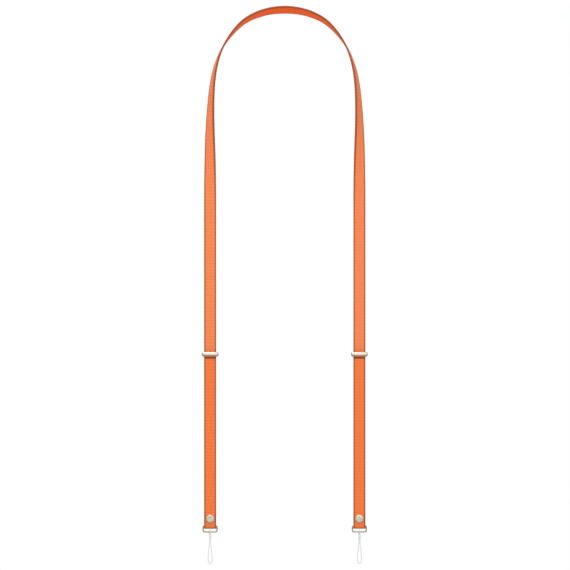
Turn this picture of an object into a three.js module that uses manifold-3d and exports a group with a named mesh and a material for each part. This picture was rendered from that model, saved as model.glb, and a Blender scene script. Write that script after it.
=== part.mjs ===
// Webbing neck lanyard: one narrow strap worn round the neck, with a folded, snapped end on each leg.
// Millimetres, +Z up, -Y is the wearer's front. The origin is under the crown, where the strap rests.
import * as THREE from "three";
import { mergeVertices } from "three/addons/utils/BufferGeometryUtils.js";
import Module from "manifold-3d";

const wasm = await Module();
wasm.setup();

// Driving dimensions
const STRAP_WIDTH = 10;
const STRAP_THICKNESS = 1.5;
const LEG_X = 62.2;
const LAYER_SPACING_AT_SNAP = 3.45;
const LAYER_SPACING_AT_TIP = 1.95;
const HINGE_GAP = 0.3;
const STRETCH_GAP = 0.3;
const SHOULDER_SHARE = 0.3;
const LAYER_GAP = 0.1;

// Drops below the middle of the strap at the crown
const KEEPER_DROP = 287.2;
const TIP_DROP = 289.6;
const SNAP_DROP = 424.4;
const FOLD_BOTTOM_DROP = 432.5;
const RING_BOTTOM_DROP = 435.7;
const STRING_BOTTOM_DROP = 462.2;

// Keeper: a flat loop that slides on the leg
const KEEPER = { width: 14.2, height: 3.9, front: -4, back: 2.05, windowWidth: 10.8, windowFront: -3.05 };
const KEEPER_WINDOW_BACK = 1.1;
const KEEPER_EDGE = 0.45;

// End ring: a rectangle of round wire
const WIRE_RADIUS = 0.6;
const RING_WIDTH = 12.75;
const RING_CORNER = 1.6;

// Snap fastener
const SNAP_CAP_RADIUS = 3.55;
const SHANK_RADIUS = 0.6;
const SHANK_HOLE_RADIUS = 0.8;
const TURNED_SIDES = 20;

// String
const STRING_DIAMETER = 0.9;
const STRING_SIDES = 8;
const STRING_STEPS = 72;
const STRAND_OFFSET = 0.5;
const SLEEVE_HEIGHT = 3;

// The strap leans over at the crown, and unwinds to lie flat down each leg.
const CROWN_TWIST = 124;
const TWIST_BY_DISTANCE = [
  [0, CROWN_TWIST],
  [22, 117],
  [40, 106],
  [63, 90],
  [84, 77],
  [108, 65],
  [128, 53],
  [154, 33],
  [180, 14],
  [200, 0],
];
const ARCH_STEP = 4;
const FOLD_STEPS = 10;
const CROWN_LEAN = THREE.MathUtils.degToRad(CROWN_TWIST - 90);
const CROWN_Z = STRAP_THICKNESS / 2 / Math.cos(CROWN_LEAN);

// Right half of the arch, across and down from the crown
const ARCH_POINTS = [
  [0, 0],
  [12.3, 1.1],
  [22.3, 3.9],
  [32.3, 8.8],
  [39.9, 15.3],
  [47.9, 25.2],
  [53.5, 35.3],
  [57.9, 48.6],
  [60.2, 61.9],
  [61.5, 78],
  [LEG_X, 100],
  [LEG_X, 130],
  [LEG_X, 170],
];
const LEG_FLAT_DROP = 175;
const LEG_CLEAR_DROP = 265;

const foldRadius = LAYER_SPACING_AT_SNAP / 2;
const foldZ = CROWN_Z - FOLD_BOTTOM_DROP + foldRadius + STRAP_THICKNESS / 2;
const snapZ = CROWN_Z - SNAP_DROP;

const materials = {
  webbing: { color: 0xf47c42, roughness: 0.9, metalness: 0 },
  nickel: { color: 0xb9b6b2, roughness: 0.25, metalness: 1 },
  string: { color: 0xeceae6, roughness: 0.85, metalness: 0 },
};

function piece(name, geometry, look) {
  const mesh = new THREE.Mesh(geometry, new THREE.MeshStandardMaterial(materials[look]));
  mesh.name = name;
  return mesh;
}

function solidOf(geometry) {
  const bare = geometry.clone();
  bare.deleteAttribute("normal");
  bare.deleteAttribute("uv");
  const merged = mergeVertices(bare, 1e-4);
  return new wasm.Manifold(
    new wasm.Mesh({
      numProp: 3,
      vertProperties: new Float32Array(merged.attributes.position.array),
      triVerts: new Uint32Array(merged.index.array),
    }),
  );
}

function geometryOf(solid) {
  const mesh = solid.getMesh();
  const geometry = new THREE.BufferGeometry();
  geometry.setAttribute("position", new THREE.BufferAttribute(mesh.vertProperties, 3));
  geometry.setIndex(new THREE.BufferAttribute(mesh.triVerts, 1));
  geometry.computeVertexNormals();
  return geometry;
}

// A hole through a strap layer for the shank of the snap, front to back.
function drill(solid, x) {
  const drillLength = 20;
  const bit = new THREE.CylinderGeometry(SHANK_HOLE_RADIUS, SHANK_HOLE_RADIUS, drillLength, TURNED_SIDES);
  bit.translate(x, 0, snapZ);
  return solid.subtract(solidOf(bit));
}

// A strap bent along stations, each with a middle, a direction across and a direction out of its face.
function bentStrap(stations) {
  const last = stations.length - 1;
  const geometry = new THREE.BoxGeometry(STRAP_WIDTH, STRAP_THICKNESS, last, 1, 1, last);
  const position = geometry.getAttribute("position");
  const placed = new THREE.Vector3();
  for (let i = 0; i < position.count; i++) {
    const station = stations[Math.round(position.getZ(i) + last / 2)];
    placed.copy(station.middle);
    placed.addScaledVector(station.across, position.getX(i));
    placed.addScaledVector(station.out, position.getY(i));
    position.setXYZ(i, placed.x, placed.y, placed.z);
  }
  return geometry;
}

function twistAt(distance) {
  const after = TWIST_BY_DISTANCE.findIndex(([at]) => at >= Math.abs(distance));
  if (after < 0) {
    return 0;
  }
  if (after === 0) {
    return CROWN_TWIST;
  }
  const [d0, t0] = TWIST_BY_DISTANCE[after - 1];
  const [d1, t1] = TWIST_BY_DISTANCE[after];
  return t0 + ((t1 - t0) * (Math.abs(distance) - d0)) / (d1 - d0);
}

// Stations over the arch, from the left leg to the right leg.
function archStations() {
  const left = ARCH_POINTS.slice(1).reverse();
  const points = [
    ...left.map(([x, drop]) => new THREE.Vector3(-x, 0, CROWN_Z - drop)),
    ...ARCH_POINTS.map(([x, drop]) => new THREE.Vector3(x, 0, CROWN_Z - drop)),
  ];
  const curve = new THREE.CatmullRomCurve3(points, false, "centripetal");
  curve.arcLengthDivisions = 2000;
  const length = curve.getLength();
  const steps = 2 * Math.round(length / ARCH_STEP / 2);
  return Array.from({ length: steps + 1 }, (_, i) => {
    const tangent = curve.getTangentAt(i / steps);
    const twist = THREE.MathUtils.degToRad(twistAt((i / steps - 0.5) * length));
    const outward = new THREE.Vector3(-tangent.z, 0, tangent.x);
    const across = outward.clone().multiplyScalar(Math.cos(twist)).setY(Math.sin(twist));
    const out = outward.clone().multiplyScalar(Math.sin(twist)).setY(-Math.cos(twist));
    return { middle: curve.getPointAt(i / steps), across, out };
  });
}

function legStation(side, drop) {
  return {
    middle: new THREE.Vector3(side * LEG_X, 0, CROWN_Z - drop),
    across: new THREE.Vector3(side, 0, 0),
    out: new THREE.Vector3(0, -1, 0),
  };
}

// Stations round the end ring's upper bar, from the back layer to the front layer.
function foldStations(side) {
  return Array.from({ length: FOLD_STEPS + 1 }, (_, i) => {
    const turn = (i / FOLD_STEPS) * Math.PI;
    const y = foldRadius * (Math.cos(turn) - 1);
    return {
      middle: new THREE.Vector3(side * LEG_X, y, foldZ - foldRadius * Math.sin(turn)),
      across: new THREE.Vector3(side, 0, 0),
      out: new THREE.Vector3(0, -Math.cos(turn), Math.sin(turn)),
    };
  });
}

function legStations(side) {
  return [legStation(side, LEG_FLAT_DROP), legStation(side, LEG_CLEAR_DROP), ...foldStations(side)];
}

// The neck strap is one length of webbing, in seven solids end to end, each a simple shape by itself.
function neckStretches() {
  const left = legStations(-1).reverse();
  const arch = archStations();
  const all = [...left, ...arch, ...legStations(1)];
  const last = all.length - 1;
  const leg = left.length;
  const shoulder = leg + Math.round(arch.length * SHOULDER_SHARE);
  const cuts = [0, FOLD_STEPS, leg, shoulder, last - shoulder, last - leg, last - FOLD_STEPS, last];
  const names = [
    "left_fold_webbing",
    "left_leg_webbing",
    "left_shoulder_webbing",
    "crown_webbing",
    "right_shoulder_webbing",
    "right_leg_webbing",
    "right_fold_webbing",
  ];
  return names.map((name, i) => {
    const stations = all.slice(cuts[i], cuts[i + 1] + 1);
    if (i > 0) {
      const [first, second] = stations;
      const share = STRETCH_GAP / first.middle.distanceTo(second.middle);
      stations[0] = { ...first, middle: first.middle.clone().lerp(second.middle, share) };
    }
    return [name, stations];
  });
}

function neckStretch(name, stations) {
  let solid = solidOf(bentStrap(stations));
  if (name.includes("leg")) {
    solid = drill(solid, stations[0].middle.x);
  }
  return geometryOf(solid);
}

// The strap's end, turned up in front of the leg: straight past the snap, then closing on the leg.
function endFlap() {
  const flapPoints = [
    [LAYER_SPACING_AT_SNAP, foldZ + HINGE_GAP],
    [LAYER_SPACING_AT_SNAP, snapZ + 12],
    [LAYER_SPACING_AT_SNAP - 0.4, snapZ + 40],
    [LAYER_SPACING_AT_TIP + 0.3, snapZ + 85],
    [LAYER_SPACING_AT_TIP, snapZ + 112],
    [LAYER_SPACING_AT_TIP, CROWN_Z - TIP_DROP],
  ];
  const stations = flapPoints.map(([forward, z]) => ({
    middle: new THREE.Vector3(0, -forward, z),
    across: new THREE.Vector3(1, 0, 0),
    out: new THREE.Vector3(0, 1, 0),
  }));
  return geometryOf(drill(solidOf(bentStrap(stations)), 0));
}

function roundedRectangle(path, x0, y0, x1, y1, radius) {
  path.moveTo(x0 + radius, y0);
  path.lineTo(x1 - radius, y0);
  path.absarc(x1 - radius, y0 + radius, radius, -Math.PI / 2, 0);
  path.lineTo(x1, y1 - radius);
  path.absarc(x1 - radius, y1 - radius, radius, 0, Math.PI / 2);
  path.lineTo(x0 + radius, y1);
  path.absarc(x0 + radius, y1 - radius, radius, Math.PI / 2, Math.PI);
  path.lineTo(x0, y0 + radius);
  path.absarc(x0 + radius, y0 + radius, radius, Math.PI, Math.PI * 1.5);
  return path;
}

function keeper() {
  const inset = KEEPER_EDGE;
  const half = KEEPER.width / 2 - inset;
  const outline = roundedRectangle(new THREE.Shape(), -half, KEEPER.front + inset, half, KEEPER.back - inset, 0.9);
  const opening = KEEPER.windowWidth / 2 + inset;
  const holeFront = KEEPER.windowFront - inset;
  const holeBack = KEEPER_WINDOW_BACK + inset;
  outline.holes.push(roundedRectangle(new THREE.Path(), -opening, holeFront, opening, holeBack, 0.6));
  const depth = KEEPER.height - 2 * inset;
  const geometry = new THREE.ExtrudeGeometry(outline, {
    depth,
    bevelThickness: inset,
    bevelSize: inset,
    bevelSegments: 2,
    curveSegments: 3,
  });
  return geometry.translate(0, 0, CROWN_Z - KEEPER_DROP - depth / 2);
}

// A torus whose quarters are drawn apart, so that straight bars join four round corners.
function endRing() {
  const corners = 24;
  const geometry = new THREE.TorusGeometry(RING_CORNER, WIRE_RADIUS, 8, corners);
  geometry.rotateZ(Math.PI / corners);
  const bottom = CROWN_Z - RING_BOTTOM_DROP + WIRE_RADIUS;
  const spreadX = RING_WIDTH / 2 - WIRE_RADIUS - RING_CORNER;
  const spreadZ = (foldZ - bottom) / 2 - RING_CORNER;
  geometry.rotateX(Math.PI / 2);
  const position = geometry.getAttribute("position");
  const tube = new THREE.Vector3();
  for (let i = 0; i < position.count; i++) {
    tube.fromBufferAttribute(position, i);
    position.setX(i, tube.x + Math.sign(tube.x) * spreadX);
    position.setZ(i, tube.z + Math.sign(tube.z) * spreadZ);
  }
  return geometry.translate(0, -foldRadius, (foldZ + bottom) / 2);
}

function turned(profile) {
  return new THREE.LatheGeometry(
    profile.map(([radius, y]) => new THREE.Vector2(radius, y)),
    TURNED_SIDES,
  ).translate(0, 0, snapZ);
}

const legFront = -STRAP_THICKNESS / 2;
const flapFront = -LAYER_SPACING_AT_SNAP - STRAP_THICKNESS / 2;
const flapBack = -LAYER_SPACING_AT_SNAP + STRAP_THICKNESS / 2;

// Domed head on the flap's front, with a shank that goes through it into the socket.
function snapCap() {
  const back = flapFront - LAYER_GAP;
  const dome = 0.85;
  const profile = [[0, back - dome]];
  const steps = 6;
  for (let i = 1; i <= steps; i++) {
    const turn = (i / steps) * (Math.PI / 2);
    profile.push([SNAP_CAP_RADIUS * Math.sin(turn), back - 0.25 - (dome - 0.25) * Math.cos(turn)]);
  }
  profile.push([SNAP_CAP_RADIUS - 0.1, back]);
  profile.push([SHANK_RADIUS, back], [SHANK_RADIUS, flapBack + 0.2], [0, flapBack + 0.2]);
  return turned(profile);
}

// Ring-shaped half on the flap's back, with a groove for its spring.
function snapSocket() {
  const front = flapBack + LAYER_GAP;
  const rim = 3.1;
  const mouth = 1.75;
  return turned([
    [SHANK_HOLE_RADIUS, front],
    [rim, front],
    [rim, front + 1.2],
    [mouth, front + 1.2],
    [mouth, front + 0.95],
    [2.45, front + 0.95],
    [2.45, front + 0.5],
    [mouth, front + 0.5],
    [mouth, front + 0.15],
    [SHANK_HOLE_RADIUS, front + 0.15],
    [SHANK_HOLE_RADIUS, front],
  ]);
}

function socketSpring() {
  const geometry = new THREE.TorusGeometry(2.05, 0.13, 6, 24);
  geometry.rotateX(Math.PI / 2);
  return geometry.translate(0, flapBack + LAYER_GAP + 0.72, snapZ);
}

// Knob on the leg's front, which the socket grips.
function snapStud() {
  const back = legFront - LAYER_GAP;
  return turned([
    [0, back - 1.45],
    [0.7, back - 1.45],
    [1.15, back - 1.25],
    [1.3, back - 1.0],
    [0.95, back - 0.6],
    [0.95, back - 0.4],
    [3.0, back - 0.4],
    [3.0, back],
    [0, back],
  ]);
}

// Flat head on the leg's back, with a shank that goes through it to the stud.
function snapPost() {
  const front = STRAP_THICKNESS / 2 + LAYER_GAP;
  return turned([
    [0, legFront + 0.05],
    [SHANK_RADIUS, legFront + 0.05],
    [SHANK_RADIUS, front],
    [3.0, front],
    [3.0, front + 0.3],
    [2.6, front + 0.5],
    [0, front + 0.5],
  ]);
}

const barZ = CROWN_Z - RING_BOTTOM_DROP + WIRE_RADIUS;
const sleeveTop = barZ - 2.4;
const sleeveMiddle = sleeveTop - SLEEVE_HEIGHT / 2;
const stringBottom = CROWN_Z - STRING_BOTTOM_DROP + STRING_DIAMETER / 2;

// One strand: from inside the sleeve, round the ring's lower bar, back through it and round the loop.
function stringLoop() {
  const eye = 1.3;
  const y = -foldRadius;
  const a = STRAND_OFFSET;
  const at = (x, forward, z) => new THREE.Vector3(x, y - forward, z);
  const points = [
    at(-a, 0, sleeveMiddle + 0.2),
    at(-a, 0, sleeveTop),
    at(-0.7 * a, -0.75, barZ - 1.4),
    at(-0.3 * a, -eye, barZ),
    at(0, -0.7 * eye, barZ + 0.75 * eye),
    at(0, 0, barZ + eye),
    at(0, 0.7 * eye, barZ + 0.75 * eye),
    at(0.3 * a, eye, barZ),
    at(0.7 * a, 0.75, barZ - 1.4),
    at(a, 0, sleeveTop),
    at(a, 0, sleeveTop - SLEEVE_HEIGHT),
    at(a, 0, stringBottom + 17.5),
    at(1.2, 0, stringBottom + 11),
    at(1.65, 0, stringBottom + 5.5),
    at(1.3, 0, stringBottom + 1.5),
    at(0, 0, stringBottom),
    at(-1.3, 0, stringBottom + 1.5),
    at(-1.65, 0, stringBottom + 5.5),
    at(-1.2, 0, stringBottom + 11),
    at(-a, 0, stringBottom + 17.5),
    at(-a, 0, sleeveTop - SLEEVE_HEIGHT),
    at(-a, 0, sleeveMiddle - 0.2),
  ];
  const section = new THREE.Shape();
  section.absarc(0, 0, STRING_DIAMETER / 2, 0, 2 * Math.PI);
  return new THREE.ExtrudeGeometry(section, {
    extrudePath: new THREE.CatmullRomCurve3(points, false, "centripetal"),
    steps: STRING_STEPS,
    curveSegments: STRING_SIDES / 2,
  });
}

// Sleeve that binds the two strands side by side.
function stringSleeve() {
  const outline = roundedRectangle(new THREE.Shape(), -1.35, -0.85, 1.35, 0.85, 0.8);
  outline.holes.push(roundedRectangle(new THREE.Path(), -1.1, -0.6, 1.1, 0.6, 0.55));
  const geometry = new THREE.ExtrudeGeometry(outline, {
    depth: SLEEVE_HEIGHT,
    bevelEnabled: false,
    curveSegments: 4,
  });
  return geometry.translate(0, -foldRadius, sleeveTop - SLEEVE_HEIGHT);
}

const lanyard = new THREE.Group();
for (const [name, stations] of neckStretches()) {
  lanyard.add(piece(name, neckStretch(name, stations), "webbing"));
}

const endPieces = [
  ["end_flap", endFlap, "webbing"],
  ["snap_cap", snapCap, "nickel"],
  ["snap_socket", snapSocket, "nickel"],
  ["socket_spring", socketSpring, "nickel"],
  ["snap_stud", snapStud, "nickel"],
  ["snap_post", snapPost, "nickel"],
  ["keeper", keeper, "nickel"],
  ["end_ring", endRing, "nickel"],
  ["string_loop", stringLoop, "string"],
  ["string_sleeve", stringSleeve, "string"],
];
for (const [side, x] of [
  ["left", -LEG_X],
  ["right", LEG_X],
]) {
  const end = new THREE.Group();
  end.position.x = x;
  for (const [name, shape, look] of endPieces) {
    end.add(piece(`${side}_${name}`, shape(), look));
  }
  lanyard.add(end);
}

export default lanyard;
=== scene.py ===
"""Webbing neck lanyard: the looks around its CAD frame. Metres, +Z up, -Y is the front."""

import math

import bmesh
import bpy
import numpy as np
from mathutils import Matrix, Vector


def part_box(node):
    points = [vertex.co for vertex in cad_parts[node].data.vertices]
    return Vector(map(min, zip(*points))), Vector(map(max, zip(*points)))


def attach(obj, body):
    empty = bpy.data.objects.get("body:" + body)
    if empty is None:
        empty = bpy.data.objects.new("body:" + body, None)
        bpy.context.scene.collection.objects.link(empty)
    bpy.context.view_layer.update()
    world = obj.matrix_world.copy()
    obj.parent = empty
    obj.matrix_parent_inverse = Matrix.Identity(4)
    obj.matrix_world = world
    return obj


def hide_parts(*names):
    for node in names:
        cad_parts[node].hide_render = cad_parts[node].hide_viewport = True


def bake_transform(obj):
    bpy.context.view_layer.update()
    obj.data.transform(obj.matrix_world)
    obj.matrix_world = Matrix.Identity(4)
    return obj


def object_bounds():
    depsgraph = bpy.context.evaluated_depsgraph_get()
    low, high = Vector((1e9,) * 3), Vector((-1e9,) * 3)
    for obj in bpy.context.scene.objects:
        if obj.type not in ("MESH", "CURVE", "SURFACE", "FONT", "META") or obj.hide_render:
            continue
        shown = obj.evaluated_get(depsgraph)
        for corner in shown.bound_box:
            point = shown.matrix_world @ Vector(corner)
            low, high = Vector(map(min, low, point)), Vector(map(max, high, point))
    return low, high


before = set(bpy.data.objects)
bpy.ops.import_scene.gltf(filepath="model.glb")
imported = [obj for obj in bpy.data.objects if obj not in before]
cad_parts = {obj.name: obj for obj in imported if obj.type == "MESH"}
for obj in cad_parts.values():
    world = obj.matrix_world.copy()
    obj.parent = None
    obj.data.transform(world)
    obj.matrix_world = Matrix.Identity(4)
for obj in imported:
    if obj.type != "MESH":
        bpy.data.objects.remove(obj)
CAD_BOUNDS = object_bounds()
MM = 0.001
SIDES = {"left": -1, "right": 1}

# ---------------------------------------------------------------- sizes, from the frame

ring_low, ring_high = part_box("right_end_ring")
cap_low, cap_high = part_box("right_snap_cap")
flap_low, flap_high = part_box("right_end_flap")
string_low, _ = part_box("right_string_loop")
sleeve_low, sleeve_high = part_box("right_string_sleeve")
fold_low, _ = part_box("right_fold_webbing")

STRAP_WIDTH = round(flap_high.x - flap_low.x, 4)
STRAP_HALF_WIDTH = STRAP_WIDTH / 2
STRAP_HALF_THICKNESS = 0.75 * MM
LEG_X = (flap_high.x + flap_low.x) / 2
SNAP_Z = (cap_low.z + cap_high.z) / 2
SNAP_RADIUS = (cap_high.z - cap_low.z) / 2
FLAP_FRONT = flap_low.y
LAYER_SPACING = -FLAP_FRONT - STRAP_HALF_THICKNESS
FOLD_RADIUS = LAYER_SPACING / 2
FOLD_Z = fold_low.z + FOLD_RADIUS + STRAP_HALF_THICKNESS
TIP_SPACING = 1.95 * MM
TIP_Z = flap_high.z
WIRE_RADIUS = (ring_high.y - ring_low.y) / 2
RING_Y = (ring_high.y + ring_low.y) / 2
RING_HALF_WIDTH = (ring_high.x - ring_low.x) / 2
BAR_Z = ring_low.z + WIRE_RADIUS
CROWN_TWIST = 124
CROWN_Z = STRAP_HALF_THICKNESS / math.cos(math.radians(CROWN_TWIST - 90))

# ---------------------------------------------------------------- camera

FRAME_WIDTH = 0.475
VIEW_CENTRE_X, VIEW_CENTRE_Z = 0.0002, -0.2285
CAMERA_DISTANCE = 1.4
camera_data = bpy.data.cameras.new("camera")
camera_data.type = "ORTHO"
camera_data.ortho_scale = FRAME_WIDTH
camera_data.clip_end = 20
camera = bpy.data.objects.new("camera", camera_data)
camera.location = (VIEW_CENTRE_X, -CAMERA_DISTANCE, VIEW_CENTRE_Z)
camera.rotation_euler = (math.radians(90), 0, 0)
bpy.context.scene.collection.objects.link(camera)
bpy.context.scene.camera = camera

# ---------------------------------------------------------------- curves and meshes


def smooth_path(points, per_span=40):
    """A centripetal Catmull-Rom curve through the points, as the CAD part draws it."""
    p = np.array(points, float)
    p = np.vstack([2 * p[0] - p[1], p, 2 * p[-1] - p[-2]])
    t = np.linspace(0, 1, per_span, endpoint=False)[:, None]
    out = []
    for a, b, c, d in zip(p[:-3], p[1:-2], p[2:-1], p[3:]):
        d0, d1, d2 = (max(np.linalg.norm(v - u), 1e-9) ** 0.5 for u, v in ((a, b), (b, c), (c, d)))
        m1 = ((b - a) / d0 - (c - a) / (d0 + d1) + (c - b) / d1) * d1
        m2 = ((c - b) / d1 - (d - b) / (d1 + d2) + (d - c) / d2) * d1
        out.append(b + m1 * t + (3 * (c - b) - 2 * m1 - m2) * t**2 + (2 * (b - c) + m1 + m2) * t**3)
    out.append(p[-2][None])
    return np.vstack(out)


def along(path):
    """Distance along a polyline at each of its points."""
    return np.concatenate([[0], np.cumsum(np.linalg.norm(np.diff(path, axis=0), axis=1))])


def resample(path, at):
    """Points of a polyline at the given distances along it."""
    s = along(path)
    return np.stack([np.interp(at, s, path[:, k]) for k in range(path.shape[1])], axis=1)


def unit(v):
    """Vectors scaled to a length of one."""
    return v / np.maximum(np.linalg.norm(v, axis=-1, keepdims=True), 1e-12)


def new_mesh(name, verts, faces, material, uv=None):
    """A smooth-shaded mesh object, with one UV pair for each point where they are given."""
    mesh = bpy.data.meshes.new(name)
    mesh.from_pydata([tuple(v) for v in np.asarray(verts, float)], [], [list(map(int, f)) for f in faces])
    if uv is not None:
        layer = mesh.uv_layers.new(name="UVMap")
        corners = np.empty(len(mesh.loops), np.int32)
        mesh.loops.foreach_get("vertex_index", corners)
        layer.data.foreach_set("uv", np.asarray(uv, np.float32)[corners].ravel())
    mesh.materials.append(material)
    made = bmesh.new()
    made.from_mesh(mesh)
    bmesh.ops.recalc_face_normals(made, faces=made.faces)
    made.to_mesh(mesh)
    made.free()
    for p in mesh.polygons:
        p.use_smooth = True
    obj = bpy.data.objects.new(name, mesh)
    bpy.context.scene.collection.objects.link(obj)
    return obj


def loft(name, rings, material, closed=False, uv=None):
    """Skin over rings of points, closed on itself or capped: rings is (rows, points in a ring, 3)."""
    rows, count, _ = rings.shape
    faces = []
    last = rows if closed else rows - 1
    for i in range(last):
        a, b = i * count, ((i + 1) % rows) * count
        for j in range(count):
            k = (j + 1) % count
            faces.append((a + j, a + k, b + k, b + j))
    if not closed:
        faces.append(tuple(range(count))[::-1])
        faces.append(tuple(range((rows - 1) * count, rows * count)))
    return new_mesh(name, rings.reshape(-1, 3), faces, material, uv)


def tube(name, path, radius, material, sides, closed=False, profile=None):
    """A round or profiled tube along a path, with a frame that doesn't spin."""
    tangent = unit(np.roll(path, -1, 0) - np.roll(path, 1, 0)) if closed else unit(np.gradient(path, axis=0))
    side = np.array([0.0, 1.0, 0.0]) if abs(tangent[0][1]) < 0.9 else np.array([1.0, 0, 0])
    frames = []
    for t in tangent:
        side = unit(side - t * (side @ t))
        frames.append((side.copy(), np.cross(t, side)))
    turn = np.linspace(0, 2 * np.pi, sides, endpoint=False)
    rings = np.empty((len(path), sides, 3))
    distance = along(path)
    for i, (u, v) in enumerate(frames):
        r = radius if profile is None else radius * profile(turn, distance[i])
        rings[i] = path[i] + np.outer(np.cos(turn) * r, u) + np.outer(np.sin(turn) * r, v)
    return loft(name, rings, material, closed=closed)


LATHE_SIDES = 72
ON_AXIS = 1e-7


def lathe(name, profile, centre, material):
    """A piece turned about an axis along Y.

    Its profile, of (radius, y) pairs, runs from axis to axis or ends where it starts.
    """
    sides = LATHE_SIDES
    turn = np.linspace(0, 2 * np.pi, sides, endpoint=False)
    verts, rows = [], []
    for r, y in profile:
        if r < ON_AXIS:
            rows.append([len(verts)] * sides)
            verts.append((centre[0], y, centre[2]))
        else:
            rows.append(list(range(len(verts), len(verts) + sides)))
            verts += [(centre[0] + r * math.cos(a), y, centre[2] + r * math.sin(a)) for a in turn]
    faces = []
    for a, b in zip(rows, rows[1:]):
        for j in range(sides):
            k = (j + 1) % sides
            face = [a[j], a[k], b[k], b[j]]
            unique = [v for i, v in enumerate(face) if v not in face[:i]]
            if len(unique) > 2:
                faces.append(unique)
    return new_mesh(name, verts, faces, material)


CORNER_ROOM = 2.1
CORNER_STEPS = 5


def round_corners(points, radius):
    """A profile with each inner point swapped for a short curve, which takes under half of either side."""
    p = [np.array(q, float) for q in points]
    out = [p[0]]
    for a, b, c in zip(p, p[1:], p[2:]):
        r = min(radius, np.linalg.norm(a - b) / CORNER_ROOM, np.linalg.norm(c - b) / CORNER_ROOM)
        start, end = b + unit(a - b) * r, b + unit(c - b) * r
        for t in np.linspace(0, 1, CORNER_STEPS):
            out.append((1 - t) ** 2 * start + 2 * t * (1 - t) * b + t**2 * end)
    out.append(p[-1])
    return out


# ---------------------------------------------------------------- materials


class Nodes:
    """A material's node tree, with short calls that add and join nodes."""

    def __init__(self, name):
        self.material = bpy.data.materials.new(name)
        self.material.use_nodes = True
        self.tree = self.material.node_tree
        self.shader = self.tree.nodes["Principled BSDF"]

    def add(self, kind, inputs=None, **settings):
        node = self.tree.nodes.new("ShaderNode" + kind)
        for key, value in settings.items():
            setattr(node, key, value)
        for key, value in (inputs or {}).items():
            self.put(value, node.inputs[key])
        return node

    def put(self, value, socket):
        if isinstance(value, bpy.types.NodeSocket):
            self.tree.links.new(value, socket)
        else:
            socket.default_value = value

    def math(self, operation, a, b=0.0):
        return self.add("Math", {0: a, 1: b}, operation=operation).outputs[0]

    def mix(self, share, a, b):
        node = self.add("Mix", data_type="RGBA")
        for value, socket in ((share, node.inputs[0]), (a, node.inputs[6]), (b, node.inputs[7])):
            self.put(value, socket)
        return node.outputs[2]

    def ramp(self, value, *stops):
        node = self.add("ValToRGB", {0: value})
        points = node.color_ramp.elements
        while len(points) < len(stops):
            points.new(0.5)
        for point, (at, colour) in zip(points, stops):
            point.position = at
            point.color = colour
        return node.outputs[0]

    def set(self, **inputs):
        for key, value in inputs.items():
            self.put(value, self.shader.inputs[key.replace("_", " ")])
        return self.material


def rgb(red, green, blue):
    """A linear colour from its everyday 0-255 values."""
    linear = [((c / 255 + 0.055) / 1.055) ** 2.4 if c > 10 else c / 3295 for c in (red, green, blue)]
    return (*linear, 1.0)


RIB_PITCH = 1.32 * MM
WARP_COUNT = 22
FACE_LIT, FACE_DEEP = rgb(255, 147, 94), rgb(247, 122, 64)
BACK_LIT, BACK_DEEP = rgb(255, 134, 72), rgb(246, 108, 46)
# Painted shade and inter-reflected light: a deeper, more saturated back face near the crown, inside the
# arch.
CROWN_SHADE_PALE, CROWN_SHADE_DEEP = rgb(255, 102, 26), rgb(248, 78, 6)
# Dark brown for the heat-sealed tip, matched to the shadow under the keeper, so also painted shadow; the
# same colours give painted shade at the fold's bottom and beside the snap.
SHADE_SEAL_PALE, SHADE_SEAL_DEEP = rgb(138, 62, 30), rgb(104, 42, 18)
# Painted shade on the strap's edges, which turn away from the light.
EDGE_SHADE_PALE, EDGE_SHADE_DEEP = rgb(184, 92, 50), rgb(128, 58, 30)


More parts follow.
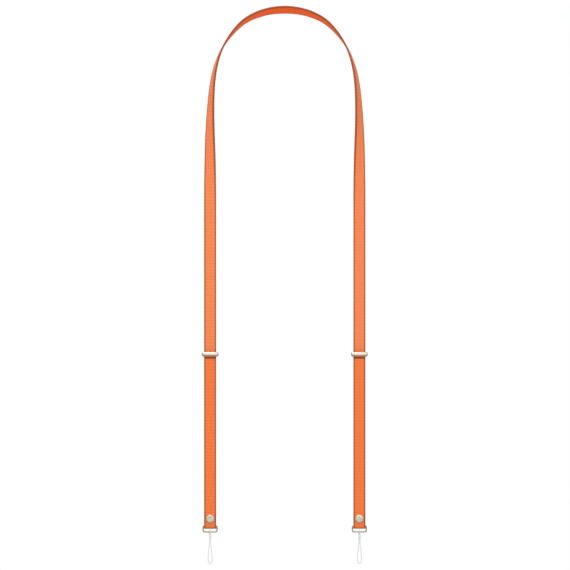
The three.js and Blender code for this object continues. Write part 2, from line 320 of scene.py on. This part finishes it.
def webbing_material():
    """Ribbed polyester webbing with a paler face and a deeper back.

    U runs across it and V counts its ribs.
    """
    n = Nodes("orange_webbing")
    uv = n.add("UVMap", uv_map="UVMap").outputs[0]
    split = n.add("SeparateXYZ", {0: uv})
    across, lengthwise = split.outputs[0], split.outputs[1]
    underside = n.add("Attribute", attribute_name="underside").outputs["Fac"]
    crown = n.add("Attribute", attribute_name="crown").outputs["Fac"]
    worn = n.add("Attribute", attribute_name="worn").outputs["Fac"]
    crest = n.math("SINE", n.math("MULTIPLY", n.math("FRACT", lengthwise), math.pi))
    pair = n.math("ABSOLUTE", n.math("SINE", n.math("MULTIPLY", lengthwise, math.pi / 2)))
    warp = n.math("ABSOLUTE", n.math("SINE", n.math("MULTIPLY", across, math.pi * WARP_COUNT)))
    large = n.add("TexNoise", {"Vector": uv, "Scale": 0.35, "Detail": 3.0}).outputs[0]
    lengths = n.add("Mapping", {0: uv, 3: (30.0, 0.12, 1.0)}).outputs[0]
    streak = n.add("TexNoise", {"Vector": lengths, "Scale": 1.0, "Detail": 2.0}).outputs[0]
    short = n.add("Mapping", {0: uv, 3: (34.0, 1.3, 1.0)}).outputs[0]
    yarn = n.add("TexNoise", {"Vector": short, "Scale": 1.6, "Detail": 4.0, "Roughness": 0.6}).outputs[0]
    tone = n.math("MULTIPLY", crest, 0.14)
    for value, share in ((pair, 0.3), (warp, 0.1), (yarn, 0.28), (streak, 0.34), (large, 0.12)):
        tone = n.math("ADD", tone, n.math("MULTIPLY", value, share))
    face = n.ramp(tone, (0.3, FACE_DEEP), (0.95, FACE_LIT))
    back = n.ramp(tone, (0.3, BACK_DEEP), (0.95, BACK_LIT))
    # Near the crown the back face takes the deeper colours, as painted shade and inter-reflected light.
    body = n.mix(underside, face, n.mix(crown, back, n.ramp(tone, (0.3, CROWN_SHADE_DEEP), (0.95, CROWN_SHADE_PALE))))
    from_middle = n.math("ABSOLUTE", n.math("SUBTRACT", across, 0.5))
    # The edges take darker colours as painted shade.
    selvedge_shade = n.ramp(from_middle, (0.36, (0, 0, 0, 1)), (0.425, (1, 1, 1, 1)))
    colour = n.mix(n.math("MULTIPLY", selvedge_shade, 0.9), body, n.ramp(yarn, (0.3, EDGE_SHADE_DEEP), (0.7, EDGE_SHADE_PALE)))
    # Darkens the sealed tip as painted shadow under the keeper, and the fold's bottom and the edges beside
    # the snap as painted shade.
    colour = n.mix(worn, colour, n.ramp(yarn, (0.3, SHADE_SEAL_DEEP), (0.7, SHADE_SEAL_PALE)))
    height = n.math("ADD", n.math("MULTIPLY", warp, 0.6), n.math("MULTIPLY", yarn, 0.7))
    bump = n.add("Bump", {"Height": height, "Distance": 0.08 * MM, "Strength": 0.5}).outputs[0]
    rough = n.math("ADD", n.math("MULTIPLY", yarn, 0.2), 0.62)
    n.put(0.25, n.shader.inputs["Sheen Weight"])
    n.put(0.45, n.shader.inputs["Sheen Roughness"])
    n.put((1.0, 0.6, 0.4, 1.0), n.shader.inputs["Sheen Tint"])
    n.put(0.2, n.shader.inputs["Specular IOR Level"])
    return n.set(Base_Color=colour, Roughness=rough, Normal=bump)


DULL_SHARE = 0.88


def metal_material(name, colour, rough, grain):
    """Plated metal with fine wear that breaks up its gloss."""
    n = Nodes(name)
    where = n.add("TexCoord").outputs["Object"]
    fine = n.add("TexNoise", {"Vector": where, "Scale": 1400.0, "Detail": 3.0}).outputs[0]
    broad = n.add("TexNoise", {"Vector": where, "Scale": 260.0, "Detail": 4.0}).outputs[0]
    dull = tuple(c * DULL_SHARE for c in colour[:3]) + (1.0,)
    tint = n.ramp(broad, (0.35, dull), (0.6, colour))
    roughness = n.math("ADD", n.math("MULTIPLY", fine, grain), rough)
    bump = n.add("Bump", {"Height": fine, "Distance": 0.01 * MM, "Strength": 0.1}).outputs[0]
    n.put(1.0, n.shader.inputs["Metallic"])
    return n.set(Base_Color=tint, Roughness=roughness, Normal=bump)


def string_material():
    """White braided string with faint fibre shading."""
    n = Nodes("white_string")
    where = n.add("TexCoord").outputs["Object"]
    fibre = n.add("TexNoise", {"Vector": where, "Scale": 3500.0, "Detail": 4.0}).outputs[0]
    colour = n.ramp(fibre, (0.3, rgb(224, 225, 229)), (0.65, rgb(244, 245, 247)))
    bump = n.add("Bump", {"Height": fibre, "Distance": 0.03 * MM, "Strength": 0.5}).outputs[0]
    rough = n.math("ADD", n.math("MULTIPLY", fibre, 0.2), 0.7)
    n.put(0.3, n.shader.inputs["Sheen Weight"])
    return n.set(Base_Color=colour, Roughness=rough, Normal=bump)


def floor_material():
    """A pale matt floor, faintly clouded."""
    n = Nodes("pale_floor")
    where = n.add("TexCoord").outputs["Object"]
    cloud = n.add("TexNoise", {"Vector": where, "Scale": 3.0, "Detail": 2.0}).outputs[0]
    colour = n.ramp(cloud, (0.3, rgb(236, 236, 235)), (0.7, rgb(242, 242, 241)))
    return n.set(Base_Color=colour, Roughness=0.8)


WEBBING = webbing_material()
NICKEL = metal_material("polished_nickel", rgb(240, 226, 214), 0.24, 0.08)
CAP_NICKEL = metal_material("cap_nickel", rgb(232, 231, 212), 0.42, 0.1)
WIRE_NICKEL = metal_material("wire_nickel", rgb(206, 199, 189), 0.38, 0.1)
PRESSED = metal_material("pressed_metal", rgb(196, 193, 188), 0.3, 0.15)
STRING = string_material()

# ---------------------------------------------------------------- string loops, the only free cords

STRING_DIAMETER = 0.9 * MM
STRING_SIDES = 18
STRING_POINTS = 420
PLIES = 3
PLY_DEPTH = 0.04
PLY_ADVANCE = 1.15 * MM
STRAND = 0.5 * MM
STRAND_END = 0.2 * MM
EYE = 1.3 * MM
EYE_NECK = 0.75 * MM
EYE_NECK_DROP = 1.4 * MM


def string_route(x):
    """The string's way from inside the sleeve to inside the sleeve again.

    It turns round the ring's lower bar, comes back through the sleeve and goes round the loop.
    """
    y, low = RING_Y, string_low.z + STRING_DIAMETER / 2
    top, bottom = sleeve_high.z, sleeve_low.z
    middle = (top + bottom) / 2
    rise = [
        (-1, 0, middle + STRAND_END),
        (-1, 0, top),
        (-0.7, -EYE_NECK, BAR_Z - EYE_NECK_DROP),
        (-0.3, -EYE, BAR_Z),
        (0, -0.7 * EYE, BAR_Z + 0.75 * EYE),
        (0, 0, BAR_Z + EYE),
        (0, 0.7 * EYE, BAR_Z + 0.75 * EYE),
        (0.3, EYE, BAR_Z),
        (0.7, EYE_NECK, BAR_Z - EYE_NECK_DROP),
        (1, 0, top),
        (1, 0, bottom),
    ]
    fall = [(1, 17.5), (2.4, 11), (3.3, 5.5), (2.6, 1.5), (0, 0)]
    points = [(x + s * STRAND, y - f, z) for s, f, z in rise]
    points += [(x + s * STRAND, y, low + h * MM) for s, h in fall]
    points += [(x - s * STRAND, y, low + h * MM) for s, h in fall[-2::-1]]
    points += [(x - STRAND, y, bottom), (x - STRAND, y, middle - STRAND_END)]
    return np.array(points)


def twisted(turn, distance):
    """The string's radius as plies that wind along it, as a share of the full radius."""
    return 1 - PLY_DEPTH + PLY_DEPTH * np.cos(PLIES * (turn - distance / PLY_ADVANCE))


def make_string(side, x):
    """One loop of string with its whipping."""
    route = smooth_path(string_route(x))
    length = along(route)[-1]
    path = resample(route, np.linspace(0, length, STRING_POINTS))
    radius = STRING_DIAMETER / 2
    cord = tube(f"{side}_string", path, radius, STRING, sides=STRING_SIDES, profile=twisted)
    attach(cord, f"{side}_string_body")
    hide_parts(f"{side}_string_loop")
    sleeve = make_sleeve(side, x)


WHIPPING_SHARE = 0.88
WHIPPING_TURNS = 7
WHIPPING_STEPS = 8
WHIPPING_SIDES = 40
WHIPPING_SQUARENESS = 0.7
THREAD_GROOVE = 0.08 * MM
BORE_HALF_X, BORE_HALF_Y = 1.05 * MM, 0.56 * MM


def squared_circle(count, power):
    """Points round a circle of radius one that is pushed out towards a square's corners."""
    turn = np.linspace(0, 2 * np.pi, count, endpoint=False)
    return np.stack([np.sign(c) * np.abs(c) ** power for c in (np.cos(turn), np.sin(turn))], 1)


def make_sleeve(side, x):
    """A whipping of fine thread round both strands, its turns drawn as level rings."""
    half_x = WHIPPING_SHARE * (sleeve_high.x - sleeve_low.x) / 2
    half_y = WHIPPING_SHARE * (sleeve_high.y - sleeve_low.y) / 2
    height = sleeve_high.z - sleeve_low.z
    outline = squared_circle(WHIPPING_SIDES, WHIPPING_SQUARENESS)
    steps = WHIPPING_TURNS * WHIPPING_STEPS
    rings = []
    for i in range(steps + 1):
        inset = THREAD_GROOVE * (1 - abs(math.sin(math.pi * i / WHIPPING_STEPS)))
        z = sleeve_high.z - height * i / steps
        rings.append([(x + a * (half_x - inset), RING_Y + b * (half_y - inset), z) for a, b in outline])
    bore = [(x + a * BORE_HALF_X, RING_Y + b * BORE_HALF_Y) for a, b in outline]
    rings += [[(a, b, z) for a, b in bore] for z in (sleeve_low.z, sleeve_high.z)]
    sleeve = loft(f"{side}_string_whipping", np.array(rings), STRING, closed=True)
    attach(sleeve, f"{side}_string_body")
    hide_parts(f"{side}_string_sleeve")
    return sleeve


for side, sign in SIDES.items():
    make_string(side, sign * LEG_X)

# ---------------------------------------------------------------- webbing

ARCH_POINTS_MM = [
    (0, 0),
    (12.3, 1.1),
    (22.3, 3.9),
    (32.3, 8.8),
    (39.9, 15.3),
    (47.9, 25.2),
    (53.5, 35.3),
    (57.9, 48.6),
    (60.2, 61.9),
    (61.5, 78),
    (62.2, 100),
    (62.2, 130),
    (62.2, 170),
]
TWIST_DEGREES = [
    (0, CROWN_TWIST),
    (22, 117),
    (40, 106),
    (63, 90),
    (84, 77),
    (108, 65),
    (128, 53),
    (154, 33),
    (180, 14),
    (200, 0),
]
ROUTE_STEP = 0.2 * MM
ARCH_PER_SPAN = 60
FOLD_POINTS = 60
FLAP_PER_SPAN = 30


def half_route():
    """The strap's middle line from the crown down the right leg, round the ring and up the flap."""
    right = [(x * MM, 0, CROWN_Z - drop * MM) for x, drop in ARCH_POINTS_MM]
    mirrored = [(-x, y, z) for x, y, z in right[1:3]][::-1]
    arch = smooth_path(mirrored + right, ARCH_PER_SPAN)
    arch = arch[int(np.argmax(arch[:, 2])) :]
    turn = np.linspace(0, np.pi, FOLD_POINTS)
    fold = np.stack(
        [
            np.full(FOLD_POINTS, LEG_X),
            FOLD_RADIUS * (np.cos(turn) - 1),
            FOLD_Z - FOLD_RADIUS * np.sin(turn),
        ],
        1,
    )
    rise = [
        (LAYER_SPACING, SNAP_Z + 12 * MM),
        (LAYER_SPACING - 0.4 * MM, SNAP_Z + 40 * MM),
        (TIP_SPACING + 0.3 * MM, SNAP_Z + 85 * MM),
        (TIP_SPACING, SNAP_Z + 112 * MM),
        (TIP_SPACING, TIP_Z),
    ]
    start = (LEG_X, -LAYER_SPACING, FOLD_Z + 1 * MM)
    flap = smooth_path([start] + [(LEG_X, -f, z) for f, z in rise], FLAP_PER_SPAN)
    path = np.vstack([arch, fold, flap])
    at_fold = along(np.vstack([arch, fold[:1]]))[-1]
    total = along(path)[-1]
    return resample(path, np.arange(0, total, ROUTE_STEP)), at_fold, total


ROUTE, AT_FOLD, ROUTE_LENGTH = half_route()
ROUTE_AT = np.arange(len(ROUTE)) * ROUTE_STEP
CUT_AT = RIB_PITCH * round((AT_FOLD + FOLD_RADIUS * math.pi / 2) / RIB_PITCH)
TWIST_SMOOTHING = 101
FLAT_ABOVE_FOLD = 10 * MM


def smoothed(values, width):
    """A moving average under a bell-shaped window: values mirror at the start and hold at the end."""
    half = width // 2
    window = np.hanning(width)
    padded = np.concatenate([values[half:0:-1], values, np.full(half, values[-1])])
    return np.convolve(padded, window / window.sum(), "valid")


def read_route(field, at):
    """A field along the route, read at the given distances."""
    return np.stack([np.interp(at, ROUTE_AT, field[:, k]) for k in range(3)], 1)


def strap_frames(at):
    """Middle, across and out-of-face directions at distances from the crown, on the right half."""
    tangent = unit(np.gradient(ROUTE, axis=0))
    twist_at, twist = np.array(TWIST_DEGREES, float).T
    theta = smoothed(np.radians(np.interp(ROUTE_AT, twist_at * MM, twist)), TWIST_SMOOTHING)
    outward = np.stack([-tangent[:, 2], 0 * theta, tangent[:, 0]], 1)
    across = outward * np.cos(theta)[:, None]
    across[:, 1] = np.sin(theta)
    across[ROUTE_AT > AT_FOLD - FLAT_ABOVE_FOLD] = (1, 0, 0)
    out = unit(np.cross(tangent, across))
    return read_route(ROUTE, at), unit(read_route(across, at)), unit(read_route(out, at))


def strap_section():
    """The strap's outline as (across, out) shares: flat faces with nearly square selvedges between them."""
    face = [(u, 1.0) for u in np.linspace(-0.9, 0.9, 9)]
    edge = [(0.98, 0.97), (0.998, 0.6), (1.0, 0.0), (0.998, -0.6), (0.98, -0.97)]
    back = [(u, -1.0) for u in np.linspace(0.9, -0.9, 9)]
    other = [(-u, -v) for u, v in edge]
    return np.array(face + edge + back + other)


SECTION = strap_section()
STEPS_PER_RIB = 4
FIRST_RIB = 2000
RIB_DEPTH = 0.12 * MM
RIB_ROUNDNESS = 0.8
LOW_RIB = 0.3
EDGE_WAVE = 0.05 * MM
BASE_HALF = STRAP_HALF_THICKNESS - 0.6 * RIB_DEPTH
CUP_DEPTH = 0.3 * MM
CUP_REACH = 5 * MM


def strap_rings(middle, across, out, ribs, cup=0.0):
    """Rings of a ribbed strap. Ribs counts along it, with a groove at each whole number.

    Every second rib is lower. Cup draws the edges back from the side that out points to.
    """
    crest = np.sin(np.pi * (ribs % 1)) ** RIB_ROUNDNESS
    heavy = 1 - LOW_RIB * (np.floor(ribs) % 2)
    thick = BASE_HALF + RIB_DEPTH * crest * heavy
    half = STRAP_HALF_WIDTH - EDGE_WAVE * (1 - crest)
    rings = np.empty((len(middle), len(SECTION), 3))
    for j, (u, v) in enumerate(SECTION):
        rings[:, j] = middle + across * (u * half)[:, None] + out * (v * thick - cup * u**2)[:, None]
    return rings


def strap_uv(ribs):
    """U from edge to edge, and V as the count of ribs."""
    rows = len(ribs)
    u = np.clip(SECTION[:, 0] / 2 + 0.5, 0, 1)
    return np.stack([np.tile(u, rows), np.repeat(ribs, len(SECTION))], 1)


# The crown's painted shade and inter-reflected light fade out between these distances from the crown.
CROWN_SHADE_FADE = (90 * MM, 190 * MM)
# The sealed band at the tip, which also stands as painted shadow under the keeper.
SEALED_SHADOW_END = 0.8 * MM
# Painted shade at the fold's bottom, which faces down, away from the light.
FOLD_SHADE, FOLD_SHADE_REACH = 0.75, 0.9 * MM
PINCH_SHADE, PINCH_REACH = 0.6, 4 * MM
PINCH_EDGE = 8


def bell(value, place, reach):
    """Falls smoothly from one at the place to nothing a few reaches away."""
    return np.exp(-(((value - place) / reach) ** 2))


def painted_shade_and_seal_share(at):
    """How dark each point is.

    Painted shadow under the keeper darkens the heat-sealed tip; painted shade darkens the fold and the edges
    by the snap.
    """
    distance = np.abs(at)[:, None]
    # Heat-sealed tip, darkened also as painted shadow under the keeper.
    sealed = np.clip((distance - (ROUTE_LENGTH - 2 * SEALED_SHADOW_END)) / SEALED_SHADOW_END, 0, 1)
    # Painted shade under the fold.
    fold = FOLD_SHADE * bell(distance, CUT_AT, FOLD_SHADE_REACH)
    snap_at = AT_FOLD + math.pi * FOLD_RADIUS + SNAP_Z - FOLD_Z
    pinch = PINCH_SHADE * bell(distance, snap_at, PINCH_REACH) * np.abs(SECTION[:, 0]) ** PINCH_EDGE
    return np.clip(sealed + fold + pinch, 0, 1)


def mark_faces(cloth, at):
    """Stores each point's share of back face, of the crown's painted shade, and of painted shade and heat
    seal.
    """
    behind = np.tile(np.clip(0.5 - SECTION[:, 1] / 2, 0, 1), len(at))
    near, far = CROWN_SHADE_FADE
    over = np.repeat(np.clip((far - np.abs(at)) / (far - near), 0, 1), len(SECTION))
    for name, values in (("underside", behind), ("crown", over), ("worn", painted_shade_and_seal_share(at).ravel())):
        layer = cloth.data.attributes.new(name, "FLOAT", "POINT")
        layer.data.foreach_set("value", values.astype(np.float32))


def seal_tip(middle, rings):
    """Draws the last rings in a little, so that the cut and sealed tip isn't knife sharp."""
    for row, share in ((-1, 0.75), (-2, 0.93)):
        rings[row] = middle[row] + (rings[row] - middle[row]) * share
    return rings


NECK_NODES = ["crown_webbing"]
NECK_NODES += [f"{side}_{part}_webbing" for side in SIDES for part in ("shoulder", "leg", "fold")]


def make_neck():
    """The long strap, from the bottom of one fold over the crown to the bottom of the other."""
    count = round(CUT_AT / RIB_PITCH) * STEPS_PER_RIB
    at = np.linspace(0, CUT_AT, count + 1)
    middle, across, out = strap_frames(at)
    flip = np.array([-1, 1, 1])
    left = [v[:0:-1] * flip for v in (middle, across, out)]
    middle, across, out = (np.vstack([a, b]) for a, b in zip(left, (middle, across, out)))
    at = np.concatenate([-at[:0:-1], at])
    ribs = at / RIB_PITCH + FIRST_RIB
    rings = strap_rings(middle, across, out, ribs)
    neck = loft("neck_webbing_cloth", rings, WEBBING, uv=strap_uv(ribs))
    mark_faces(neck, at)
    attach(neck, "strap")
    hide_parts(*NECK_NODES)


TIP_TRIM = 0.3 * MM


def make_flap(side, sign):
    """The strap's end, from the bottom of the fold round to its tip under the keeper."""
    steps = math.floor((ROUTE_LENGTH - CUT_AT - TIP_TRIM) / RIB_PITCH * STEPS_PER_RIB)
    ribs_in = steps / STEPS_PER_RIB
    at = CUT_AT + np.linspace(0, ribs_in * RIB_PITCH, steps + 1)
    middle, across, out = strap_frames(at)
    flip = np.array([sign, 1, 1])
    middle, across, out = middle * flip, across * flip, out * flip
    ribs = at / RIB_PITCH + FIRST_RIB
    cup = CUP_DEPTH * bell(middle[:, 2], SNAP_Z, CUP_REACH) * (middle[:, 1] < -LAYER_SPACING / 2)
    rings = seal_tip(middle, strap_rings(middle, across, out, ribs, cup))
    flap = loft(f"{side}_end_cloth", rings, WEBBING, uv=strap_uv(ribs))
    mark_faces(flap, at)
    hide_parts(f"{side}_end_flap")
    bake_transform(flap)


make_neck()
for side, sign in SIDES.items():
    make_flap(side, sign)

# ---------------------------------------------------------------- metal pieces


def rounded_rectangle(x0, y0, x1, y1, radius, steps=10):
    """Corner arcs joined by straight sides, anticlockwise."""
    corners = (
        (x1 - radius, y0 + radius, -90),
        (x1 - radius, y1 - radius, 0),
        (x0 + radius, y1 - radius, 90),
        (x0 + radius, y0 + radius, 180),
    )
    out = []
    for cx, cy, first in corners:
        for a in np.radians(np.linspace(first, first + 90, steps)):
            out.append((cx + radius * math.cos(a), cy + radius * math.sin(a)))
    return np.array(out)


KEEPER_STEPS = 13
KEEPER_CORNER = 1.3 * MM
KEEPER_DRAW_LOW, KEEPER_DRAW_HIGH = 1.5 * MM, 0.8 * MM
KEEPER_ROUND = 0.6 * MM
WINDOW_HALF = 5.4 * MM
WINDOW_FRONT, WINDOW_BACK = -3.05 * MM, 1.1 * MM
WINDOW_FLARE_LOW, WINDOW_FLARE_HIGH = 0.1 * MM, 0.35 * MM
WINDOW_CORNER = 0.5 * MM


def make_keeper(side, sign):
    """A loop round the strap: rounded edges, sides drawn in most at the lower end, and a flared window."""
    low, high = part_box(f"{side}_keeper")
    x = sign * LEG_X
    half_z = (high.z - low.z) / 2
    middle_z = (high.z + low.z) / 2
    rings = []
    for a in np.radians(np.linspace(-90, 90, KEEPER_STEPS)):
        inset_x = (KEEPER_DRAW_LOW if a < 0 else KEEPER_DRAW_HIGH) * (1 - math.cos(a))
        inset_y = KEEPER_ROUND * abs(math.sin(a)) ** 3
        x0, x1 = low.x + inset_x, high.x - inset_x
        outline = rounded_rectangle(x0, low.y + inset_y, x1, high.y - inset_y, KEEPER_CORNER)
        rings.append([(p[0], p[1], middle_z + half_z * math.sin(a)) for p in outline])
    for a in np.radians(np.linspace(90, -90, KEEPER_STEPS)):
        flare = (WINDOW_FLARE_LOW if a < 0 else WINDOW_FLARE_HIGH) * (1 - math.cos(a))
        x0, x1 = x - WINDOW_HALF - flare, x + WINDOW_HALF + flare
        outline = rounded_rectangle(x0, WINDOW_FRONT - flare, x1, WINDOW_BACK + flare, WINDOW_CORNER)
        rings.append([(p[0], p[1], middle_z + half_z * math.sin(a)) for p in outline])
    keeper = loft(f"{side}_keeper_loop", np.array(rings), NICKEL, closed=True)
    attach(keeper, f"{side}_keeper_body")
    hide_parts(f"{side}_keeper")


RING_CORNER = 1.35 * MM
RING_CORNER_STEPS = 12
RING_SIDES = 24


def make_ring(side, sign):
    """Round wire bent to a rectangle with tight corners."""
    x = sign * LEG_X
    half_w = RING_HALF_WIDTH - WIRE_RADIUS
    top = ring_high.z - WIRE_RADIUS
    outline = rounded_rectangle(x - half_w, BAR_Z, x + half_w, top, RING_CORNER, RING_CORNER_STEPS)
    path = np.stack([outline[:, 0], np.full(len(outline), RING_Y), outline[:, 1]], 1)
    ring = tube(f"{side}_wire_ring", path, WIRE_RADIUS, WIRE_NICKEL, sides=RING_SIDES, closed=True)
    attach(ring, f"{side}_ring_body")
    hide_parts(f"{side}_end_ring")


SNAP_GAP = 0.1 * MM
SNAP_EDGE = 0.12 * MM
CAP_CREST, CAP_DISH, CAP_RIM = 0.85 * MM, 0.8 * MM, 0.28 * MM
CREST_SHARE = 0.5
SHANK_RADIUS, SHANK_LENGTH = 0.6 * MM, 1.75 * MM
SOCKET_BASE = FLAP_FRONT + 2 * STRAP_HALF_THICKNESS + SNAP_GAP
STUD_BASE = -STRAP_HALF_THICKNESS - SNAP_GAP
POST_BASE = STRAP_HALF_THICKNESS + SNAP_GAP
SPRING_POINTS = 64
SPRING_SIDES = 10
SPRING_RADIUS, SPRING_WAVE, SPRING_WIRE = 2.05 * MM, 0.12 * MM, 0.13 * MM
SPRING_RISE = 0.72 * MM

# Profiles in millimetres: radius, and distance behind the piece's base
SOCKET_MM = [(0.8, 0), (2.9, 0), (3.1, 0.25), (3.1, 1.0), (2.8, 1.2), (1.9, 1.2), (1.75, 1.05)]
SOCKET_MM += [(1.75, 0.95), (2.45, 0.95), (2.45, 0.5), (1.75, 0.5), (1.75, 0.15), (0.8, 0.15), (0.8, 0)]
STUD_MM = [(0, -1.45), (0.7, -1.45), (1.15, -1.25), (1.3, -1.0), (0.95, -0.6), (0.95, -0.4)]
STUD_MM += [(2.7, -0.4), (3.0, -0.2), (3.0, 0), (0, 0)]
POST_MM = [(0, -1.5), (0.6, -1.5), (0.6, 0), (3.0, 0), (3.0, 0.25), (2.6, 0.5), (1.5, 0.5)]
POST_MM += [(1.3, 0.32), (0.7, 0.32), (0.5, 0.12), (0, 0.12)]


def from_base(profile_mm, base):
    """A profile in millimetres, moved to its base and in metres."""
    return [(r * MM, base + y * MM) for r, y in profile_mm]


def cap_profile():
    """A low dome with a barely dished middle, a thin rim and the shank that runs into the socket."""
    back = FLAP_FRONT - SNAP_GAP
    profile = [(0, back - CAP_DISH)]
    for share in np.linspace(0.08, CREST_SHARE, 8):
        swell = math.sin(share * math.pi) ** 4
        profile.append((share * SNAP_RADIUS, back - CAP_DISH - (CAP_CREST - CAP_DISH) * swell))
    for share in np.linspace(0.56, 0.97, 10):
        fall = ((share - CREST_SHARE) / (1 - CREST_SHARE)) ** 2
        profile.append((share * SNAP_RADIUS, back - CAP_RIM - (CAP_CREST - CAP_RIM) * math.sqrt(1 - fall)))
    profile += [(SNAP_RADIUS, back - CAP_RIM * 0.75), (SNAP_RADIUS - 0.05 * MM, back)]
    return profile + [(SHANK_RADIUS, back), (SHANK_RADIUS, back + SHANK_LENGTH), (0, back + SHANK_LENGTH)]


def turned_piece(name, node, profile, x, body, material):
    """One turned piece of a snap, on its axis and its body."""
    piece = lathe(name, round_corners(profile, SNAP_EDGE), (x, 0, SNAP_Z), material)
    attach(piece, body)
    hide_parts(node)


def make_spring(side, x):
    """The socket's wire ring, bent slightly oval to grip the stud."""
    turn = np.linspace(0, 2 * np.pi, SPRING_POINTS, endpoint=False)
    radius = SPRING_RADIUS + SPRING_WAVE * np.cos(2 * turn)
    y = np.full(SPRING_POINTS, SOCKET_BASE + SPRING_RISE)
    path = np.stack([x + radius * np.cos(turn), y, SNAP_Z + radius * np.sin(turn)], 1)
    spring = tube(f"{side}_spring_wire", path, SPRING_WIRE, PRESSED, sides=SPRING_SIDES, closed=True)
    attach(spring, f"{side}_flap")
    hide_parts(f"{side}_socket_spring")


def make_snap(side, sign):
    """The cap and socket on the flap, and the stud and post on the back layer."""
    x = sign * LEG_X
    flap = f"{side}_flap"
    socket, stud, post = (
        from_base(profile, base)
        for profile, base in ((SOCKET_MM, SOCKET_BASE), (STUD_MM, STUD_BASE), (POST_MM, POST_BASE))
    )
    turned_piece(f"{side}_cap", f"{side}_snap_cap", cap_profile(), x, flap, CAP_NICKEL)
    turned_piece(f"{side}_socket", f"{side}_snap_socket", socket, x, flap, PRESSED)
    turned_piece(f"{side}_stud", f"{side}_snap_stud", stud, x, "strap", PRESSED)
    turned_piece(f"{side}_post", f"{side}_snap_post", post, x, "strap", PRESSED)
    make_spring(side, x)


for side, sign in SIDES.items():
    make_keeper(side, sign)
    make_ring(side, sign)
    make_snap(side, sign)

# ---------------------------------------------------------------- floor and light

FLOOR_Z = CAD_BOUNDS[0][2] - 6 * MM
FLOOR_HALF = 3
floor_corners = [(x * FLOOR_HALF, y * FLOOR_HALF, FLOOR_Z) for x, y in ((-1, -1), (1, -1), (1, 1), (-1, 1))]
floor_mesh = bpy.data.meshes.new("floor")
floor_mesh.from_pydata(floor_corners, [], [(0, 1, 2, 3)])
floor_mesh.materials.append(floor_material())
floor = bpy.data.objects.new("floor", floor_mesh)
bpy.context.scene.collection.objects.link(floor)
floor.visible_glossy = False

SKY = [(0.0, 0.3), (0.25, 0.46), (0.42, 0.52), (0.5, 0.54), (0.6, 0.64), (1.0, 0.75)]
WARM = (1.0, 0.8, 0.68)
COOL = (1.0, 0.99, 0.97)
WARM_BELOW = 0.45


def studio_world():
    """A white backdrop to the eye, and else a room that is brighter above, and dimmer and warmer below."""
    world = bpy.data.worlds.new("studio")
    bpy.context.scene.world = world
    world.use_nodes = True
    tree = world.node_tree
    room = tree.nodes["Background"]
    backdrop = tree.nodes.new("ShaderNodeBackground")
    backdrop.inputs[0].default_value = (1, 1, 1, 1)
    height = tree.nodes.new("ShaderNodeSeparateXYZ")
    half = tree.nodes.new("ShaderNodeMapRange")
    half.inputs["From Min"].default_value = -1
    ramp = tree.nodes.new("ShaderNodeValToRGB")
    points = ramp.color_ramp.elements
    while len(points) < len(SKY):
        points.new(0.5)
    for point, (at, level) in zip(points, SKY):
        point.position = at
        tint = WARM if at < WARM_BELOW else COOL
        point.color = tuple(level * share for share in tint) + (1,)
    seen = tree.nodes.new("ShaderNodeLightPath").outputs["Is Camera Ray"]
    mix = tree.nodes.new("ShaderNodeMixShader")
    tree.links.new(tree.nodes.new("ShaderNodeTexCoord").outputs["Generated"], height.inputs[0])
    tree.links.new(height.outputs["Z"], half.inputs["Value"])
    tree.links.new(half.outputs["Result"], ramp.inputs[0])
    tree.links.new(ramp.outputs[0], room.inputs[0])
    tree.links.new(seen, mix.inputs[0])
    tree.links.new(room.outputs[0], mix.inputs[1])
    tree.links.new(backdrop.outputs[0], mix.inputs[2])
    tree.links.new(mix.outputs[0], tree.nodes["World Output"].inputs[0])


studio_world()
bpy.context.scene.view_settings.view_transform = "Standard"


def soft_light(name, place, size, power):
    """A square lamp of a given size in metres and power in watts, aimed at the middle of the view."""
    data = bpy.data.lights.new(name, "AREA")
    data.shape = "RECTANGLE"
    data.size = data.size_y = size
    data.energy = power
    lamp = bpy.data.objects.new(name, data)
    lamp.location = place
    lamp.rotation_euler = (Vector((0, 0, VIEW_CENTRE_Z)) - Vector(place)).to_track_quat("-Z", "Y").to_euler()
    bpy.context.scene.collection.objects.link(lamp)


soft_light("key", place=(-0.35, -1.0, 1.3), size=0.3, power=9.2)
soft_light("front", place=(0.3, -1.6, 0.1), size=1.2, power=3)
